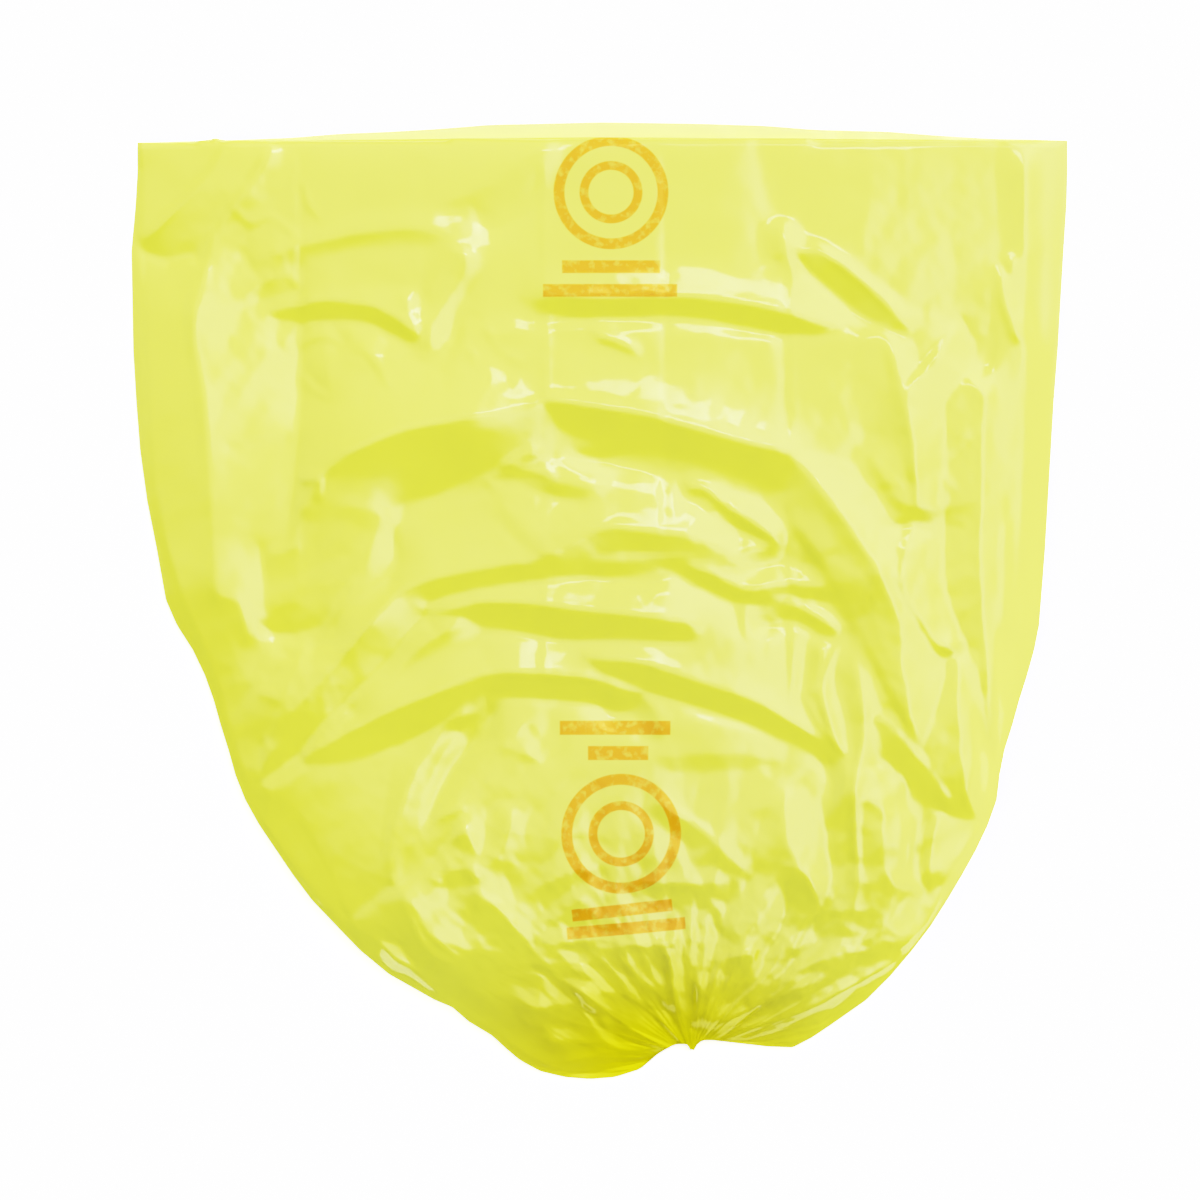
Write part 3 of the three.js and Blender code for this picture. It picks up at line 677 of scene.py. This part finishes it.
# ---------------------------------------------------------------- the mesh
def make_bag():
    nF, nB = NF + 1, NB + 1
    rings = NV + 1
    per = (nF - 1) + (nB - 1)
    co = np.zeros((rings, per, 3))
    co[:, :nF] = F
    co[:, nF:] = B[:, 1:-1][:, ::-1]
    # film coordinates: u across the flat tube in metres, v down it
    uF = (sF + 1) / 2 * FLAT_W
    uB = FLAT_W + (1 - (sB[1:-1][::-1] + 1) / 2) * FLAT_W
    ucol = np.r_[uF, uB]
    verts = co.reshape(-1, 3) / 1000
    faces = []
    idx = np.arange(rings * per).reshape(rings, per)
    nxt = np.roll(idx, -1, axis=1)
    a, b, c, d = idx[:-1], nxt[:-1], nxt[1:], idx[1:]
    quads = np.stack([a, d, c, b], -1).reshape(-1, 4)
    mesh = bpy.data.meshes.new("film_bag")
    mesh.vertices.add(len(verts))
    mesh.vertices.foreach_set("co", verts.ravel())
    mesh.loops.add(quads.size)
    mesh.loops.foreach_set("vertex_index", quads.ravel())
    mesh.polygons.add(len(quads))
    mesh.polygons.foreach_set("loop_start", np.arange(0, quads.size, 4))
    mesh.polygons.foreach_set("loop_total", np.full(len(quads), 4))
    mesh.update(calc_edges=True)
    mesh.polygons.foreach_set("use_smooth", np.ones(len(quads), bool))
    # the tube is creased along both sides, so its two walls are shaded apart
    ends = np.zeros(len(mesh.edges) * 2, int)
    mesh.edges.foreach_get("vertices", ends)
    col = ends.reshape(-1, 2) % per
    crease = (col[:, 0] == col[:, 1]) & ((col[:, 0] == 0) | (col[:, 0] == nF - 1))
    mesh.attributes.new("sharp_edge", "BOOLEAN", "EDGE").data.foreach_set("value", crease)
    uv = mesh.uv_layers.new(name="film")
    U0 = np.broadcast_to(ucol[None, :], (rings, per))
    V0 = np.broadcast_to((rows * FLAT_L)[:, None], (rings, per))
    flat = np.stack([U0, V0], -1).reshape(-1, 2)
    luv = flat[quads.ravel()].copy()
    # the last column meets the first at the whole width of the tube
    q = luv.reshape(-1, 4, 2)
    wrap = (q[..., 0].max(1) - q[..., 0].min(1)) > FLAT_W
    q[wrap, :, 0] = np.where(q[wrap, :, 0] < FLAT_W / 2, q[wrap, :, 0] + 2 * FLAT_W, q[wrap, :, 0])
    uv.data.foreach_set("uv", q.ravel())
    ob = bpy.data.objects.new("film_bag", mesh)
    bpy.context.scene.collection.objects.link(ob)
    return ob


bag = make_bag()


# ---------------------------------------------------------------- material
def film_material():
    mat = bpy.data.materials.new("yellow_film")
    mat.use_nodes = True
    nt = mat.node_tree
    nt.nodes.clear()
    N, L = nt.nodes.new, nt.links.new

    def node(kind, **kw):
        n = N(kind)
        for k, val in kw.items():
            setattr(n, k, val)
        return n

    def math_node(op, a, b=None, clamp=False):
        n = node("ShaderNodeMath", operation=op, use_clamp=clamp)
        for i, x in enumerate((a, b)):
            if x is None:
                continue
            if isinstance(x, (int, float)):
                n.inputs[i].default_value = x
            else:
                L(x, n.inputs[i])
        return n.outputs[0]

    def mix(fac, a, b):
        n = node("ShaderNodeMix", data_type="RGBA")
        for i, x in ((0, fac), (6, a), (7, b)):
            if isinstance(x, (tuple, list)):
                n.inputs[i].default_value = x
            elif isinstance(x, (int, float)):
                n.inputs[i].default_value = x
            else:
                L(x, n.inputs[i])
        return n.outputs[2]

    sep = node("ShaderNodeSeparateXYZ")
    coord = node("ShaderNodeTexCoord")
    L(coord.outputs["Object"], sep.inputs[0])
    ox, oy = sep.outputs[0], sep.outputs[1]

    # bunched film round the seal is deeper in colour: partly its stacked layers, partly painted shade in its deep folds
    gx, gy = mm(GATHER) / 1000
    dx = math_node("MULTIPLY", math_node("SUBTRACT", ox, float(gx - 0.03)), 0.62)
    dy = math_node("SUBTRACT", oy, float(gy - 0.01))
    dist = math_node("SQRT", math_node("ADD", math_node("MULTIPLY", dx, dx), math_node("MULTIPLY", dy, dy)))
    ramp = node("ShaderNodeMapRange", interpolation_type="SMOOTHSTEP")
    L(dist, ramp.inputs[0])
    ramp.inputs[1].default_value = 0.135
    ramp.inputs[2].default_value = 0.015
    ramp.inputs[3].default_value = 0.0
    ramp.inputs[4].default_value = 1.0
    layers_and_shade = ramp.outputs[0]

    cloud = node("ShaderNodeTexNoise")
    cloud.inputs["Scale"].default_value = 5.0
    cloud.inputs["Detail"].default_value = 2.0
    L(coord.outputs["Object"], cloud.inputs["Vector"])
    base = mix(cloud.outputs[0], (0.800, 0.815, 0.052, 1), (0.840, 0.855, 0.078, 1))
    # painted shade: the body and the light through the film darken to a deep yellow round the seal
    body = mix(layers_and_shade, base, (0.78, 0.755, 0.002, 1))
    glow = mix(layers_and_shade, (0.87, 0.90, 0.12, 1), (0.80, 0.77, 0.002, 1))

    # where only the back wall shows, past the front wall's edge, the film is single and paler
    lip_uv = node("ShaderNodeUVMap", uv_map="film")
    lip_xy = node("ShaderNodeSeparateXYZ")
    L(lip_uv.outputs[0], lip_xy.inputs[0])
    single = math_node("MULTIPLY", math_node("GREATER_THAN", lip_xy.outputs[0], FLAT_W), math_node("LESS_THAN", lip_xy.outputs[1], 0.03))
    body = mix(single, body, (0.86, 0.87, 0.20, 1))
    glow = mix(single, glow, (0.92, 0.94, 0.34, 1))

    # two plain printed marks on the front wall: rings, with plain bars over and under them
    uvs = node("ShaderNodeUVMap", uv_map="film")
    su = node("ShaderNodeSeparateXYZ")
    L(uvs.outputs[0], su.inputs[0])
    front_wall = math_node("LESS_THAN", su.outputs[0], FLAT_W)

    def soft_below(x, limit):
        n = node("ShaderNodeMapRange", interpolation_type="SMOOTHSTEP")
        L(x, n.inputs[0])
        n.inputs[1].default_value = limit + 0.0007
        n.inputs[2].default_value = limit - 0.0007
        return n.outputs[0]

    def ring(cx, cy, radius, width):
        px, py = mm((cx, cy)) / 1000
        ax, ay = math_node("SUBTRACT", ox, float(px)), math_node("SUBTRACT", oy, float(py))
        r = math_node("SQRT", math_node("ADD", math_node("MULTIPLY", ax, ax), math_node("MULTIPLY", ay, ay)))
        return soft_below(math_node("ABSOLUTE", math_node("SUBTRACT", r, radius * U / 1000)), width / 2 * U / 1000)

    def bar(cx, cy, length, width, tilt=0.0):
        px, py = mm((cx, cy)) / 1000
        ax, ay = math_node("SUBTRACT", ox, float(px)), math_node("SUBTRACT", oy, float(py))
        c, sn = math.cos(math.radians(tilt)), math.sin(math.radians(tilt))
        lx = math_node("ADD", math_node("MULTIPLY", ax, c), math_node("MULTIPLY", ay, sn))
        ly = math_node("SUBTRACT", math_node("MULTIPLY", ay, c), math_node("MULTIPLY", ax, sn))
        return math_node("MULTIPLY", soft_below(math_node("ABSOLUTE", lx), length / 2 * U / 1000),
                         soft_below(math_node("ABSOLUTE", ly), width / 2 * U / 1000))

    print_parts = [ring(611, 192, 52, 11), ring(611, 192, 27, 9), bar(611, 267, 98, 13), bar(610, 291, 134, 13),
                   bar(615, 727, 110, 14), bar(618, 752, 60, 14), ring(621, 832, 54, 11), ring(621, 832, 28, 9),
                   bar(622, 908, 100, 12, 6), bar(626, 926, 118, 12, 5)]
    ink = print_parts[0]
    for part in print_parts[1:]:
        ink = math_node("MAXIMUM", ink, part)
    ink = math_node("MULTIPLY", ink, front_wall)
    # the ink is thin in places, in small scuffs
    thin = node("ShaderNodeTexNoise")
    thin.inputs["Scale"].default_value = 160.0
    thin.inputs["Detail"].default_value = 2.0
    L(coord.outputs["Object"], thin.inputs["Vector"])
    worn = node("ShaderNodeMapRange")
    L(thin.outputs[0], worn.inputs[0])
    for i, val in enumerate((0.30, 0.50, 0.62, 1.0)):
        worn.inputs[i + 1].default_value = val
    ink = math_node("MULTIPLY", ink, worn.outputs[0])
    body = mix(ink, body, (0.82, 0.42, 0.002, 1))
    glow = mix(ink, glow, (0.82, 0.46, 0.002, 1))

    princ = node("ShaderNodeBsdfPrincipled")
    L(body, princ.inputs["Base Color"])
    princ.inputs["Roughness"].default_value = 0.07
    princ.inputs["IOR"].default_value = 1.80
    princ.inputs["Specular IOR Level"].default_value = 1.0
    # round the seal the reflections are tinted the film's deep yellow, which paints out their pale sheen as painted
    # shade in the bunched folds; over the ink they are tinted orange
    tint = mix(ink, mix(layers_and_shade, (1, 1, 1, 1), (0.60, 0.56, 0.01, 1)), (1.0, 0.66, 0.22, 1))
    L(tint, princ.inputs["Specular Tint"])
    trans = node("ShaderNodeBsdfTranslucent")
    L(glow, trans.inputs["Color"])
    # fine haze: the film's own micro-wrinkles
    n1 = node("ShaderNodeTexNoise")
    n1.inputs["Scale"].default_value = 42.0
    n1.inputs["Detail"].default_value = 1.0
    L(coord.outputs["Object"], n1.inputs["Vector"])
    bump = node("ShaderNodeBump")
    bump.inputs["Strength"].default_value = 0.5
    bump.inputs["Distance"].default_value = 0.0007
    L(n1.outputs[0], bump.inputs["Height"])
    L(bump.outputs[0], princ.inputs["Normal"])

    m1 = node("ShaderNodeMixShader")
    m1.inputs[0].default_value = 0.36
    L(princ.outputs[0], m1.inputs[1])
    L(trans.outputs[0], m1.inputs[2])
    out = node("ShaderNodeOutputMaterial")
    L(m1.outputs[0], out.inputs[0])
    return mat


bag.data.materials.append(film_material())
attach(bag, "root")
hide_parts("bag")

# ---------------------------------------------------------------- floor, light, camera
floor_mesh = bpy.data.meshes.new("floor")
h = 6.0
floor_mesh.from_pydata([(-h, -h, 0), (h, -h, 0), (h, h, 0), (-h, h, 0)], [], [(0, 1, 2, 3)])
floor = bpy.data.objects.new("floor", floor_mesh)
bpy.context.scene.collection.objects.link(floor)
fm = bpy.data.materials.new("white_floor")
fm.use_nodes = True
fb = fm.node_tree.nodes["Principled BSDF"]
fb.inputs["Base Color"].default_value = (0.93, 0.93, 0.93, 1)
fb.inputs["Roughness"].default_value = 0.9
fb.inputs["Specular IOR Level"].default_value = 0.1
fb.inputs["Emission Color"].default_value = (1, 1, 1, 1)
fb.inputs["Emission Strength"].default_value = 1.0
floor.data.materials.append(fm)
floor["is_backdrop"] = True


def softbox(name, place, aim, size, watts, spread=180):
    data = bpy.data.lights.new(name, "AREA")
    data.shape = "RECTANGLE"
    data.size, data.size_y = size
    data.energy = watts
    data.spread = math.radians(spread)
    ob = bpy.data.objects.new(name, data)
    bpy.context.scene.collection.objects.link(ob)
    ob.location = place
    ob.rotation_euler = (Vector(aim) - Vector(place)).to_track_quat("-Z", "Y").to_euler()
    return ob


def studio_world():
    """A broad pale ceiling of light that lies towards the mouth, soft at its edge and darker from the foot."""
    world = bpy.data.worlds.new("studio")
    world.use_nodes = True
    nt = world.node_tree
    N, L = nt.nodes.new, nt.links.new
    back = nt.nodes["Background"]
    co = N("ShaderNodeTexCoord")
    sep = N("ShaderNodeSeparateXYZ")
    L(co.outputs["Generated"], sep.inputs[0])

    def m(op, a, b=0.0):
        n = N("ShaderNodeMath")
        n.operation = op
        for i, x in enumerate((a, b)):
            if isinstance(x, (int, float)):
                n.inputs[i].default_value = x
            else:
                L(x, n.inputs[i])
        return n.outputs[0]

    def step(x, lo, hi, low=0.0, high=1.0):
        n = N("ShaderNodeMapRange")
        n.interpolation_type = "SMOOTHSTEP"
        L(x, n.inputs[0])
        for i, val in enumerate((lo, hi, low, high)):
            n.inputs[i + 1].default_value = val
        return n.outputs[0]

    up = m("MAXIMUM", m("ADD", sep.outputs[2], 1.0), 0.5)
    tx, ty = m("DIVIDE", sep.outputs[0], up), m("DIVIDE", sep.outputs[1], up)
    turned = m("ADD", ty, m("MULTIPLY", m("MAXIMUM", tx, 0.0), 0.6))
    lit = m("MULTIPLY", step(turned, -0.16, 0.07), step(tx, -0.30, 0.0, 0.62, 1.0))
    lit = m("MULTIPLY", lit, step(tx, 0.22, 0.50, 1.0, 0.55))
    lit = m("MULTIPLY", lit, step(ty, 0.08, 0.22, 1.0, 1.2))
    lit = m("MULTIPLY", lit, step(tx, 0.02, 0.11, 1.0, 2.1))
    lit = m("MULTIPLY", lit, step(ty, 0.45, 0.95, 1.0, 0.55))
    L(m("ADD", m("MULTIPLY", lit, 1.14), 0.22), back.inputs[1])
    back.inputs[0].default_value = (1, 1, 1, 1)
    bpy.context.scene.world = world


studio_world()
softbox("glint", (0.35, 1.6, 3.0), (0, -0.05, 0), (0.60, 0.30), 1.3)

cam_data = bpy.data.cameras.new("camera")
cam = bpy.data.objects.new("camera", cam_data)
bpy.context.scene.collection.objects.link(cam)
DIST = 3.2
cam.location = ((600 - ORIGIN[0]) * U / 1000, (ORIGIN[1] - 600) * U / 1000, DIST)
cam.rotation_euler = (0, 0, 0)
cam_data.sensor_fit = "HORIZONTAL"
cam_data.sensor_width = 36
# at the height of the film's outline, 1200 units fill the frame
cam_data.lens = 36 * (DIST - 0.012) / (1.200 * U)
cam_data.clip_end = 20
bpy.context.scene.camera = cam

vs = bpy.context.scene.view_settings
vs.view_transform = "Standard"
vs.look = "None"
vs.exposure = 0.0
# a soft shoulder, as a camera has: bright film keeps its colour and the floor goes to white
vs.use_curve_mapping = True
cm = vs.curve_mapping
cm.use_clip = True
cm.clip_min_x, cm.clip_min_y, cm.clip_max_x, cm.clip_max_y = 0.0, 0.0, 2.0, 1.0
curve = cm.curves[3]
curve.points[0].location = (0, 0)
curve.points[1].location = (2.0, 1.0)
for x, y in ((0.35, 0.35), (0.68, 0.67), (0.85, 0.765), (1.05, 0.83), (1.30, 0.885), (1.50, 0.935), (1.70, 0.995)):
    curve.points.new(x, y)
cm.update()

lo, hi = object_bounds()
